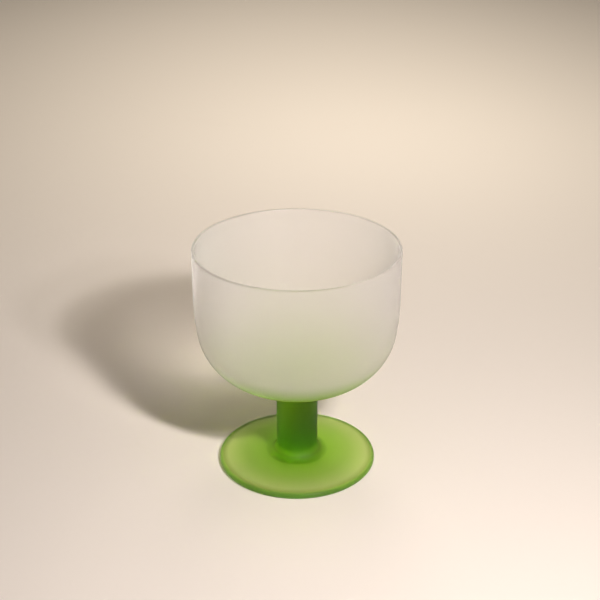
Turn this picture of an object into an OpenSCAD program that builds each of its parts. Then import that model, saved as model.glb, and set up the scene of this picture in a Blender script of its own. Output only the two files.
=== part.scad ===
// Stemmed drinking glass of three glass pieces stuck together hot: bowl, stem and foot.
// Every piece is turned about Z. The origin is the middle of the ring that the foot stands on.

/* [Bowl] */
// Outside diameter at the rim and down the straight wall
rim_d = 85; // [60:0.5:110]
// Height of the bowl, from the lowest point of its base curve to the rim
bowl_h = 61.3; // [52:0.1:90]
// Radius of the long curve that leads from the straight wall into the corner
shoulder_r = 104; // [80:1:160]
// Angle that the long curve turns through, in degrees
shoulder_turn = 8.5; // [4:0.5:12]
// Radius of the corner between the side and the base
corner_r = 26.5; // [18:0.5:29]
// Radius of the shallow curve across the base
base_r = 83.6; // [65:0.1:140]
// Thickness of the wall at the rim
rim_t = 1.2; // [0.8:0.1:2.5]
// Thickness of the glass across the base
base_t = 3.2; // [2.6:0.1:6]

/* [Stem] */
// Diameter of the rod
stem_d = 17.5; // [10:0.5:24]
// Length of the stem between its two flat ends
stem_l = 34.4; // [20:0.1:70]
// Radius of the hollow curve where the stem spreads onto the foot
foot_flare = 4.5; // [1:0.1:6]
// Radius of the hollow curve where the stem spreads onto the bowl
bowl_flare = 1.5; // [1:0.1:4]
// Thickness of the thin edge at each flared end
flare_edge = 0.4; // [0.2:0.1:1]

/* [Foot] */
// Outside diameter of the foot
foot_d = 67; // [50:0.5:90]
// Height of the flat seat in the middle of the foot
foot_h = 4.2; // [3.4:0.1:8]
// Thickness of the foot at its rounded edge
foot_edge = 2.7; // [2:0.1:3.2]
// Width of the flat ring that the glass stands on
ring_w = 3; // [2:0.5:6]
// Depth of the shallow hollow under the foot
hollow_depth = 1; // [0.5:0.1:1.5]

/* [Hidden] */
$fn = 128;

rim_r = rim_d / 2;
stem_r = stem_d / 2;

// Each curve of an outline is let out by this hair, so that it crosses its neighbours cleanly.
lap = 0.002;

// The flared ends of the stem set the size of the seats that they stand on.
foot_seat_r = stem_r + foot_flare;
bowl_seat_r = stem_r + bowl_flare;

// The bowl's base curve is cut flat for the stem, this far above its lowest point.
bowl_seat_h = base_r - sqrt(pow(base_r, 2) - pow(bowl_seat_r, 2));
bowl_z = foot_h + stem_l - bowl_seat_h;

// The wall grows from the rim to the base, so the inner corner is drawn in by the mean of the two.
inner_corner_r = corner_r - (rim_t + base_t) / 2;

// Half outline of a filled cup: straight wall, shoulder, corner and base curve, each tangent to the next.
// The base curve is centred on the axis at the height base_r.
module cup_outline(wall_r, shoulder, corner, base, low, top) {
    corner_x = wall_r - shoulder + (shoulder - corner) * cos(shoulder_turn);
    base_half_angle = asin(corner_x / (base - corner));
    corner_z = base_r - (base - corner) * cos(base_half_angle);
    shoulder_z = corner_z + (shoulder - corner) * sin(shoulder_turn);
    // The chord across the corner, from where it leaves the base to where it meets the shoulder.
    chord_start = [corner_x + corner * sin(base_half_angle), corner_z - corner * cos(base_half_angle)];
    chord_end = [corner_x + corner * cos(shoulder_turn), corner_z - corner * sin(shoulder_turn)];
    chord_angle = atan2(chord_end.y - chord_start.y, chord_end.x - chord_start.x);
    reach = top + wall_r;
    intersection() {
        translate([0, low]) square([wall_r, top - low]);
        translate([0, base_r]) circle(base);
        // The shoulder curve only bounds what is below it.
        union() {
            translate([wall_r - shoulder, shoulder_z]) circle(shoulder + lap);
            translate([0, shoulder_z]) square(reach);
        }
        // The corner curve only bounds what is beyond its chord.
        union() {
            translate([corner_x, corner_z]) circle(corner + 2 * lap);
            translate(chord_start) rotate(chord_angle) translate([-reach, 0]) square([3 * reach, 2 * reach]);
        }
    }
}

module bowl() {
    lip_r = rim_t / 2;
    lip_z = bowl_h - lip_r;
    color([0.90, 0.89, 0.83, 0.75])
    translate([0, 0, bowl_z])
    rotate_extrude() {
        difference() {
            cup_outline(rim_r, shoulder_r, corner_r, base_r, bowl_seat_h, lip_z);
            cup_outline(rim_r - rim_t, shoulder_r - rim_t, inner_corner_r, base_r - base_t, 0, bowl_h);
        }
        translate([rim_r - lip_r, lip_z]) circle(lip_r);
    }
}

// Half outline of one flared end of the stem, with the flat end at height 0.
module flared_end(flare) {
    difference() {
        square([stem_r + flare, flare_edge + flare]);
        translate([stem_r + flare, flare_edge + flare]) circle(flare);
    }
}

module stem() {
    color([0.30, 0.48, 0.09])
    translate([0, 0, foot_h])
    rotate_extrude() {
        square([stem_r, stem_l]);
        flared_end(foot_flare);
        translate([0, stem_l]) mirror([0, 1]) flared_end(bowl_flare);
    }
}

module foot() {
    foot_r = foot_d / 2;
    edge_r = foot_edge / 2;
    edge_x = foot_r - edge_r;
    // The conical top slopes down from the edge of the seat and touches the rounded edge.
    across = edge_x - foot_seat_r;
    rise = foot_h - edge_r;
    slope = atan2(rise, across) - asin(edge_r / norm([across, rise]));
    touch = [edge_x + edge_r * sin(slope), edge_r + edge_r * cos(slope)];
    past_edge = foot_r + edge_r;
    // The hollow underneath is part of a large sphere, fine enough to stay round.
    hollow_r = edge_x - ring_w;
    sphere_r = (pow(hollow_r, 2) + pow(hollow_depth, 2)) / (2 * hollow_depth);
    color([0.50, 0.64, 0.24])
    rotate_extrude()
    difference() {
        intersection() {
            polygon([
                [0, 0],
                [past_edge, 0],
                [past_edge, foot_h - (past_edge - foot_seat_r) * tan(slope)],
                [foot_seat_r, foot_h],
                [0, foot_h]
            ]);
            // The rounded edge only bounds what is beyond the points where it touches the top and the ring.
            union() {
                polygon([[0, 0], [edge_x, 0], touch, [touch.x, foot_h], [0, foot_h]]);
                translate([edge_x - lap, edge_r]) circle(edge_r + lap);
            }
        }
        translate([0, hollow_depth - sphere_r]) circle(sphere_r, $fn = 12 * $fn);
    }
}

bowl();
stem();
foot();
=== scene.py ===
from math import asin, ceil, cos, hypot, pi, radians, sin

import bpy
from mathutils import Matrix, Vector


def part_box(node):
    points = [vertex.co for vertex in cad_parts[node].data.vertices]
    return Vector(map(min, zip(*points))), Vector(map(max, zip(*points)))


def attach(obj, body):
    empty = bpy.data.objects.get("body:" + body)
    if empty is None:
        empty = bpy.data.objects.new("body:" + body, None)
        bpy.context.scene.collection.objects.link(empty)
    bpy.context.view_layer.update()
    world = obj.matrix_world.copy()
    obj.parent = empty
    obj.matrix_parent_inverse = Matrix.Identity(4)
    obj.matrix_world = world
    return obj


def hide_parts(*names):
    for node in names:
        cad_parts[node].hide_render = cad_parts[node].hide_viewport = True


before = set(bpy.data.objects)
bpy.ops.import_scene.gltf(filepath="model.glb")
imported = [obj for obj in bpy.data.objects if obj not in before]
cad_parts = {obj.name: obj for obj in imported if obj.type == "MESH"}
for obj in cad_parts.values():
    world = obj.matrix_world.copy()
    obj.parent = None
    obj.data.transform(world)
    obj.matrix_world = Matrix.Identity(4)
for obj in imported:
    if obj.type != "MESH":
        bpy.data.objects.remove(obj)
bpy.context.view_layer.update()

# Bowl: a thin cup of blown glass, clear above and running into green over its lowest part.
# It is etched satin outside and inside, and its round lip is smoother.
# The stem is stuck to a flat pad under it.
bowl_low, bowl_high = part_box("bowl")
rim_r = bowl_high.x
rim_z = bowl_high.z
pad_z = bowl_low.z
rim_thickness = 0.0012
base_thickness = 0.0032
shoulder_r = 0.104
shoulder_turn = radians(8.5)
corner_r = 0.0265
base_r = 0.0836
pad_r = 0.01025

pad_turn = asin(pad_r / base_r)
base_z = pad_z + base_r * cos(pad_turn)
lip_r = rim_thickness / 2
lip_centre = (rim_r - lip_r, rim_z - lip_r)
inner_corner_r = corner_r - (rim_thickness + base_thickness) / 2

# The pieces stay this far apart where they are stuck together, so that no two faces share a place.
joint_gap = 0.00002
shortest_step = joint_gap / 10
merge_within = joint_gap / 20
flat_within = joint_gap / 100
arc_step = radians(3)
turn_steps = 192
smooth_below = radians(40)


def arc(centre, radius, start, end):
    """Points of a round stretch of an outline, from the angle start to the angle end."""
    count = max(2, ceil(abs(end - start) / arc_step))
    angles = [start + (end - start) * i / count for i in range(count + 1)]
    return [(centre[0] + radius * cos(a), centre[1] + radius * sin(a)) for a in angles]


def cup_side(wall_r, shoulder, corner, base, start):
    """One face of the bowl's wall, from the angle start on its base curve up to the straight wall."""
    corner_x = wall_r - shoulder + (shoulder - corner) * cos(shoulder_turn)
    base_turn = asin(corner_x / (base - corner))
    corner_z = base_z - (base - corner) * cos(base_turn)
    shoulder_z = corner_z + (shoulder - corner) * sin(shoulder_turn)
    side = arc((0, base_z), base, start - pi / 2, base_turn - pi / 2)
    side += arc((corner_x, corner_z), corner, base_turn - pi / 2, -shoulder_turn)
    side += arc((wall_r - shoulder, shoulder_z), shoulder, -shoulder_turn, 0)
    return side


def turned(name, outline):
    """A solid turned about the axis: half an outline is drawn point by point, spun round and closed."""
    bpy.ops.object.select_all(action="DESELECT")
    bpy.ops.mesh.primitive_plane_add(size=rim_r)
    piece = bpy.context.object
    piece.name = name
    bpy.ops.object.mode_set(mode="EDIT")
    bpy.ops.mesh.merge(type="CENTER")
    bpy.ops.transform.translate(value=(outline[0][0], 0, outline[0][1]))
    for (from_r, from_z), (to_r, to_z) in zip(outline, outline[1:]):
        if hypot(to_r - from_r, to_z - from_z) > shortest_step:
            step = (to_r - from_r, 0, to_z - from_z)
            bpy.ops.mesh.extrude_region_move(TRANSFORM_OT_translate={"value": step})
    bpy.ops.mesh.select_all(action="SELECT")
    bpy.ops.mesh.spin(steps=turn_steps, angle=2 * pi, center=(0, 0, 0), axis=(0, 0, 1))
    bpy.ops.mesh.select_all(action="SELECT")
    bpy.ops.mesh.remove_doubles(threshold=merge_within)
    bpy.ops.mesh.normals_make_consistent(inside=False)
    bpy.ops.object.mode_set(mode="OBJECT")
    bpy.ops.object.shade_smooth_by_angle(angle=smooth_below)
    return piece


outside = cup_side(rim_r, shoulder_r, corner_r, base_r, pad_turn)
inside = cup_side(
    rim_r - rim_thickness, shoulder_r - rim_thickness, inner_corner_r, base_r - base_thickness, 0
)
bowl = turned("bowl_glass", [(0, pad_z)] + outside + arc(lip_centre, lip_r, 0, pi) + inside[::-1])

glass_ior = 1.5
frost_scale = 2600
cloud_scale = 160
grain_detail = 2
roughness_spread = 0.02
etch_depth = 0.00002


def new_material(name):
    """A material with an empty node tree and its output node."""
    material = bpy.data.materials.new(name)
    material.use_nodes = True
    material.node_tree.nodes.clear()
    output = material.node_tree.nodes.new("ShaderNodeOutputMaterial")
    return material, material.node_tree.nodes, material.node_tree.links, output


def carried_over(nodes, links, value, before, after, easing="LINEAR"):
    """A value carried over from the range before to the range after, and held at its ends."""
    change = nodes.new("ShaderNodeMapRange")
    change.interpolation_type = easing
    change.inputs["From Min"].default_value = before[0]
    change.inputs["From Max"].default_value = before[1]
    change.inputs["To Min"].default_value = after[0]
    change.inputs["To Max"].default_value = after[1]
    links.new(value, change.inputs["Value"])
    return change.outputs["Result"]


def noise(nodes, links, scale):
    """An even, cloudy pattern that is fixed to the piece."""
    place = nodes.new("ShaderNodeTexCoord")
    pattern = nodes.new("ShaderNodeTexNoise")
    pattern.inputs["Scale"].default_value = scale
    pattern.inputs["Detail"].default_value = grain_detail
    links.new(place.outputs["Object"], pattern.inputs["Vector"])
    return pattern.outputs["Fac"]


satin_grain = bpy.data.node_groups.new("satin_grain", "ShaderNodeTree")
satin_grain.interface.new_socket("Roughness", in_out="INPUT", socket_type="NodeSocketFloat")
satin_grain.interface.new_socket("Roughness", in_out="OUTPUT", socket_type="NodeSocketFloat")
satin_grain.interface.new_socket("Height", in_out="OUTPUT", socket_type="NodeSocketFloat")
nodes = satin_grain.nodes
links = satin_grain.links
group_in = nodes.new("NodeGroupInput")
group_out = nodes.new("NodeGroupOutput")
frost = noise(nodes, links, frost_scale)
cloud = noise(nodes, links, cloud_scale)
uneven = carried_over(nodes, links, cloud, (0, 1), (-roughness_spread, roughness_spread))
add = nodes.new("ShaderNodeMath")
add.operation = "ADD"
add.use_clamp = True
links.new(group_in.outputs["Roughness"], add.inputs[0])
links.new(uneven, add.inputs[1])
links.new(add.outputs["Value"], group_out.inputs["Roughness"])
links.new(frost, group_out.inputs["Height"])


def add_glass(nodes, shine, clearness):
    """A glass shader: shine scales what it mirrors, and clearness is the share of it that is clear."""
    glass = nodes.new("ShaderNodeBsdfPrincipled")
    glass.inputs["IOR"].default_value = glass_ior
    glass.inputs["Specular Tint"].default_value = (shine, shine, shine, 1)
    glass.inputs["Transmission Weight"].default_value = clearness
    return glass


def add_satin(nodes, links, glass, roughness):
    """Feeds the etched grain into a glass shader."""
    grain = nodes.new("ShaderNodeGroup")
    grain.node_tree = satin_grain
    grain.inputs["Roughness"].default_value = roughness
    bump = nodes.new("ShaderNodeBump")
    bump.inputs["Strength"].default_value = 1
    bump.inputs["Distance"].default_value = etch_depth
    links.new(grain.outputs["Height"], bump.inputs["Height"])
    links.new(bump.outputs["Normal"], glass.inputs["Normal"])
    links.new(grain.outputs["Roughness"], glass.inputs["Roughness"])


def add_tint(nodes, links, glass, share, stops, easing="LINEAR"):
    """Colours the glass by a share from 0 to 1. Each stop is a share and the colour there."""
    tint = nodes.new("ShaderNodeValToRGB")
    ramp = tint.color_ramp
    ramp.interpolation = easing
    first, last = ramp.elements
    first.position, first.color = stops[0]
    last.position, last.color = stops[-1]
    for position, colour in stops[1:-1]:
        ramp.elements.new(position).color = colour
    links.new(share, tint.inputs["Fac"])
    links.new(tint.outputs["Color"], glass.inputs["Base Color"])


def height_above_floor(nodes, links):
    """How high each point of the surface is."""
    place = nodes.new("ShaderNodeTexCoord")
    height = nodes.new("ShaderNodeSeparateXYZ")
    links.new(place.outputs["Object"], height.inputs["Vector"])
    return height.outputs["Z"]


def melted_at(nodes, links, joints):
    """A mask that is 1 on a flat end at one of the heights joints, where two pieces melted into one."""
    height = height_above_floor(nodes, links)
    mask = None
    for joint_z in joints:
        at_joint = nodes.new("ShaderNodeMath")
        at_joint.operation = "COMPARE"
        at_joint.inputs[1].default_value = joint_z
        at_joint.inputs[2].default_value = flat_within
        links.new(height, at_joint.inputs[0])
        if mask is None:
            mask = at_joint.outputs["Value"]
        else:
            either = nodes.new("ShaderNodeMath")
            either.operation = "MAXIMUM"
            links.new(mask, either.inputs[0])
            links.new(at_joint.outputs["Value"], either.inputs[1])
            mask = either.outputs["Value"]
    return mask


def either_shader(nodes, links, factor, first, second):
    """The first shader where factor is 0 and the second where it is 1."""
    choice = nodes.new("ShaderNodeMixShader")
    links.new(factor, choice.inputs["Fac"])
    links.new(first, choice.inputs[1])
    links.new(second, choice.inputs[2])
    return choice.outputs["Shader"]


def let_light_through(nodes, links, glass, output, face_on, edge_on, again, joints=()):
    """Lets lamp light through the wall to what stands behind it, more of it face on than edge on.
    Light that has already come off the floor gets through by the share again.
    At a joint, light that is inside the glass goes straight on into the next piece."""
    path = nodes.new("ShaderNodeLightPath")
    angle = nodes.new("ShaderNodeLayerWeight")
    angle.inputs["Blend"].default_value = 0.5
    amount = nodes.new("ShaderNodeMix")
    amount.data_type = "RGBA"
    amount.inputs["A"].default_value = (*face_on, 1)
    amount.inputs["B"].default_value = (*edge_on, 1)
    share = carried_over(nodes, links, path.outputs["Diffuse Depth"], (0, 1), (1, again))
    passed = nodes.new("ShaderNodeVectorMath")
    passed.operation = "SCALE"
    wall = nodes.new("ShaderNodeBsdfTransparent")
    links.new(angle.outputs["Facing"], amount.inputs["Factor"])
    links.new(amount.outputs["Result"], passed.inputs["Vector"])
    links.new(share, passed.inputs["Scale"])
    links.new(passed.outputs["Vector"], wall.inputs["Color"])
    surface = glass.outputs["BSDF"]
    shade = wall.outputs["BSDF"]
    if joints:
        melted = melted_at(nodes, links, joints)
        clear = nodes.new("ShaderNodeBsdfTransparent")
        within = either_shader(nodes, links, melted, surface, clear.outputs["BSDF"])
        surface = either_shader(nodes, links, path.outputs["Is Camera Ray"], within, surface)
        shade = either_shader(nodes, links, melted, shade, clear.outputs["BSDF"])
    surface = either_shader(nodes, links, path.outputs["Is Shadow Ray"], surface, shade)
    links.new(surface, output.inputs["Surface"])


# The glass is green up to the first height, pale a third of the way on, and white from the second.
green_to = 0.044
white_from = 0.085
bowl_tints = (
    (0, (0.27, 0.53, 0.0, 1)),
    (0.317, (0.95, 0.92, 0.88, 1)),
    (1, (1.0, 0.96, 0.965, 1)),
)
outside_satin, nodes, links, output = new_material("bowl_satin_outside")
glass = add_glass(nodes, shine=0.4, clearness=1)
whiteness = carried_over(nodes, links, height_above_floor(nodes, links), (green_to, white_from), (0, 1))
add_tint(nodes, links, glass, whiteness, bowl_tints, easing="EASE")
add_satin(nodes, links, glass, roughness=0.57)
let_light_through(
    nodes, links, glass, output,
    face_on=(0.05, 0.035, 0.01), edge_on=(0.01, 0.007, 0.002), again=0.3, joints=[pad_z],
)

inside_roughness = 0.65
lip_roughness = 0.38
inside_satin, nodes, links, output = new_material("bowl_satin_inside")
glass = add_glass(nodes, shine=1, clearness=0.95)
glass.inputs["Base Color"].default_value = (0.98, 0.98, 0.97, 1)
roughness = carried_over(
    nodes, links, height_above_floor(nodes, links),
    (rim_z - 2 * lip_r, rim_z - lip_r), (inside_roughness, lip_roughness),
)
links.new(roughness, glass.inputs["Roughness"])
let_light_through(
    nodes, links, glass, output,
    face_on=(0.65, 0.65, 0.64), edge_on=(0.4, 0.4, 0.38), again=0.4,
)

bowl.data.materials.append(outside_satin)
bowl.data.materials.append(inside_satin)
bowl_middle = Vector((0, 0, base_z))
for face in bowl.data.polygons:
    face.material_index = int(face.normal.dot(bowl_middle - face.center) > 0)
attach(bowl, "root")
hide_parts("bowl")

# Stem: a short, thick, solid rod of green glass, drawn out at both ends where it was stuck on hot.
# Its whole surface is etched satin.
stem_low, stem_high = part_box("stem")
stem_r = 0.00875
foot_flare = 0.0045
bowl_flare = 0.0015
stem_bottom = stem_low.z + joint_gap
stem_top = stem_high.z - joint_gap
flare_top = stem_bottom + foot_flare
seat_r = stem_r + foot_flare

outline = [(0, stem_bottom)]
outline += arc((seat_r, flare_top), foot_flare, -pi / 2, -pi)
outline += arc((stem_r + bowl_flare, stem_top - bowl_flare), bowl_flare, -pi, -3 * pi / 2)
outline += [(0, stem_top)]
stem = turned("stem_glass", outline)


def add_green(nodes, links, output, colour, density):
    """Glass that is green all through, so that a thick piece is darker than a thin one."""
    absorb = nodes.new("ShaderNodeVolumeAbsorption")
    absorb.inputs["Color"].default_value = colour
    absorb.inputs["Density"].default_value = density
    links.new(absorb.outputs["Volume"], output.inputs["Volume"])


# Lamp light that gets through the green pieces.
green_light = {"face_on": (0.66, 0.66, 0.58), "edge_on": (0.3, 0.3, 0.3), "again": 0.3}

# The tint runs from the bottom of the lower flare to its top, and is the same above it.
# A third of the way up the flare it is darker: painted shade where the stem spreads into the foot.
stem_tints_and_painted_shade = (
    (0, (0.5, 0.66, 0.19, 1)),
    (0.3, (0.34, 0.36, 0.22, 1)),
    (1, (0.68, 0.82, 0.36, 1)),
)
satin_stem, nodes, links, output = new_material("stem_green")
glass = add_glass(nodes, shine=0.4, clearness=1)
# Light that is bounced about within the etched grain is left out, which keeps the sides of the rod dark.
glass.distribution = "GGX"
up_flare = carried_over(nodes, links, height_above_floor(nodes, links), (stem_bottom, flare_top), (0, 1))
add_tint(nodes, links, glass, up_flare, stem_tints_and_painted_shade)
add_satin(nodes, links, glass, roughness=0.6)
let_light_through(nodes, links, glass, output, joints=[stem_bottom, stem_top], **green_light)
add_green(nodes, links, output, colour=(0.78, 0.90, 0.12, 1), density=320)
stem.data.materials.append(satin_stem)
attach(stem, "root")
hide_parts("stem")

# Foot: a round green glass plate with a slightly domed top and a rounded edge, stuck under the stem.
# It is hollowed a little underneath, so it stands on a ring near its edge, and it is etched satin all over.
foot_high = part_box("foot")[1]
foot_r = foot_high.x
foot_top = foot_high.z
foot_edge = 0.0027
ring_w = 0.003
hollow_depth = 0.001

edge_r = foot_edge / 2
edge_x = foot_r - edge_r
reach = edge_x - seat_r
rise = foot_top - edge_r
dome_r = (reach ** 2 + rise ** 2 - edge_r ** 2) / (2 * (rise - edge_r))
dome_turn = asin(reach / (dome_r - edge_r))
hollow_r = edge_x - ring_w
sphere_r = (hollow_r ** 2 + hollow_depth ** 2) / (2 * hollow_depth)
hollow_turn = asin(hollow_r / sphere_r)

outline = arc((0, hollow_depth - sphere_r), sphere_r, pi / 2, pi / 2 - hollow_turn)
outline += arc((edge_x, edge_r), edge_r, -pi / 2, pi / 2 - dome_turn)
outline += arc((seat_r, foot_top - dome_r), dome_r, pi / 2 - dome_turn, pi / 2)
outline += [(0, foot_top)]
foot = turned("foot_glass", outline)

# The tint runs outwards from the edge of the seat, in shares of the foot's radius.
# It is painted shade and light: darker next to the stem, where the stem and bowl shade it,
# lighter further out, where light gets under the foot, and a painted dark line at the rounded edge.
foot_painted_shade_and_light = (
    (seat_r / foot_r, (0.54, 0.72, 0.19, 1)),
    (0.66, (0.645, 0.73, 0.385, 1)),
    (0.89, (0.86, 0.83, 0.71, 1)),
    (0.945, (0.57, 0.59, 0.375, 1)),
    (0.985, (0.50, 0.78, 0.24, 1)),
)
satin_foot, nodes, links, output = new_material("foot_green")
glass = add_glass(nodes, shine=0.1, clearness=0.92)
place = nodes.new("ShaderNodeTexCoord")
level = nodes.new("ShaderNodeVectorMath")
level.operation = "MULTIPLY"
level.inputs[1].default_value = (1, 1, 0)
radius = nodes.new("ShaderNodeVectorMath")
radius.operation = "LENGTH"
links.new(place.outputs["Object"], level.inputs[0])
links.new(level.outputs["Vector"], radius.inputs[0])
outward = carried_over(nodes, links, radius.outputs["Value"], (0, foot_r), (0, 1))
add_tint(nodes, links, glass, outward, foot_painted_shade_and_light)
add_satin(nodes, links, glass, roughness=0.3)
let_light_through(nodes, links, glass, output, joints=[foot_top], **green_light)
add_green(nodes, links, output, colour=(0.683, 0.889, 0.111, 1), density=180)
foot.data.materials.append(satin_foot)
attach(foot, "root")
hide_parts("foot")

# Floor: a plain cream sheet that the glass stands on. It isn't part of the glass.
# Well away from the glass, where the lamps don't reach, it fades into the pale background.
floor_size = 12
floor_gap = 0.00005
lit_middle = (0, 0.4, 0)
lit_reach = 0.64
faded_from = 0.8
pale_colour = (0.92, 0.85, 0.80, 1)
pale_strength = 1.25
mirrored_share = 0.1


def seen_by_camera(nodes, links):
    """1 for what the camera sees, straight or through glass, and less for what the glass mirrors.
    It is 0 for light that has come off the floor, so the background doesn't light the floor."""
    path = nodes.new("ShaderNodeLightPath")
    mirrored = nodes.new("ShaderNodeMath")
    mirrored.operation = "MULTIPLY"
    mirrored.inputs[1].default_value = mirrored_share
    straight = nodes.new("ShaderNodeMath")
    straight.operation = "MAXIMUM"
    seen = nodes.new("ShaderNodeMath")
    seen.operation = "MAXIMUM"
    off_floor = nodes.new("ShaderNodeMath")
    off_floor.operation = "SUBTRACT"
    off_floor.use_clamp = True
    links.new(path.outputs["Is Glossy Ray"], mirrored.inputs[0])
    links.new(path.outputs["Is Camera Ray"], straight.inputs[0])
    links.new(mirrored.outputs["Value"], straight.inputs[1])
    links.new(straight.outputs["Value"], seen.inputs[0])
    links.new(path.outputs["Is Transmission Ray"], seen.inputs[1])
    links.new(seen.outputs["Value"], off_floor.inputs[0])
    links.new(path.outputs["Diffuse Depth"], off_floor.inputs[1])
    return off_floor.outputs["Value"]


bpy.ops.object.select_all(action="DESELECT")
bpy.ops.mesh.primitive_plane_add(size=floor_size, location=(0, 0, -floor_gap))
floor = bpy.context.object
floor.name = "floor"
cream, nodes, links, output = new_material("floor_cream")
paper = nodes.new("ShaderNodeBsdfPrincipled")
paper.inputs["Base Color"].default_value = (0.86, 0.785, 0.735, 1)
paper.inputs["Roughness"].default_value = 0.9
paper.inputs["Specular IOR Level"].default_value = 0.1
backdrop = nodes.new("ShaderNodeEmission")
backdrop.inputs["Color"].default_value = pale_colour
backdrop.inputs["Strength"].default_value = pale_strength
place = nodes.new("ShaderNodeTexCoord")
away = nodes.new("ShaderNodeVectorMath")
away.operation = "DISTANCE"
away.inputs[1].default_value = lit_middle
links.new(place.outputs["Object"], away.inputs[0])
fade = carried_over(nodes, links, away.outputs["Value"], (lit_reach, faded_from), (0, 1), "SMOOTHSTEP")
far_off = nodes.new("ShaderNodeMath")
far_off.operation = "MULTIPLY"
links.new(fade, far_off.inputs[0])
links.new(seen_by_camera(nodes, links), far_off.inputs[1])
surface = either_shader(
    nodes, links, far_off.outputs["Value"], paper.outputs["BSDF"], backdrop.outputs["Emission"]
)
links.new(surface, output.inputs["Surface"])
floor.data.materials.append(cream)

# Light: a row of three small lamps in front and to the right, which throw the shadow.
# Two weak, wide lamps hang high up behind, and a weak warm light comes from all round.
key_lamps = (
    ("low_key_lamp", radians(-59.4), radians(38.8), 0.72),
    ("middle_key_lamp", radians(-63.4), radians(42.9), 1.82),
    ("high_key_lamp", radians(-66.5), radians(45.1), 0.9),
)
key_distance = 0.5
key_size = 0.03
key_colour = (1.0, 0.945, 0.895)
key_aim = Vector((-0.4, 0.9, 0.1))
for lamp_name, turn, lift, strength in key_lamps:
    towards = Vector((cos(lift) * cos(turn), cos(lift) * sin(turn), sin(lift)))
    bpy.ops.object.light_add(type="AREA", location=key_distance * towards)
    key_lamp = bpy.context.object
    key_lamp.name = lamp_name
    key_lamp.data.shape = "DISK"
    key_lamp.data.size = key_size
    key_lamp.data.energy = strength
    key_lamp.data.color = key_colour
    key_lamp.rotation_euler = (key_aim - key_lamp.location).to_track_quat("-Z", "Y").to_euler()

back_lamps = (
    ("near_back_lamp", (0.06, 0.42, 0.55), 0.2, 0.51),
    ("far_back_lamp", (0, 0.8, 0.9), 0.4, 1.36),
)
back_spread = radians(100)
back_colour = (1.0, 0.925, 0.775)
for lamp_name, spot, size, strength in back_lamps:
    bpy.ops.object.light_add(type="AREA", location=spot)
    back_lamp = bpy.context.object
    back_lamp.name = lamp_name
    back_lamp.data.size = size
    back_lamp.data.spread = back_spread
    back_lamp.data.energy = strength
    back_lamp.data.color = back_colour

room = bpy.data.worlds.new("room")
room.use_nodes = True
nodes = room.node_tree.nodes
links = room.node_tree.links
warm = nodes["Background"]
warm.inputs["Color"].default_value = (1.0, 0.80, 0.50, 1)
warm.inputs["Strength"].default_value = 0.045
pale = nodes.new("ShaderNodeBackground")
pale.inputs["Color"].default_value = pale_colour
pale.inputs["Strength"].default_value = pale_strength
surface = either_shader(
    nodes, links, seen_by_camera(nodes, links), warm.outputs["Background"], pale.outputs["Background"]
)
links.new(surface, nodes["World Output"].inputs["Surface"])
room.cycles.sampling_method = "NONE"
bpy.context.scene.world = room

# Camera: stands in front of the glass, well above its rim, and looks down at it.
# Its place, pitch and lens are the photograph's own, as fitted to the outline of the glass.
camera_place = (0.00127, -0.4682, 0.2987)
camera_pitch = 0.445
camera_lens_px = 1263.7
image_px = 600
nearest_seen = 0.01
bpy.ops.object.camera_add(location=camera_place, rotation=(pi / 2 - camera_pitch, 0, 0))
camera = bpy.context.object
camera.data.lens = camera_lens_px / image_px * camera.data.sensor_width
camera.data.clip_start = nearest_seen
bpy.context.scene.camera = camera
bpy.context.scene.view_settings.view_transform = "Standard"
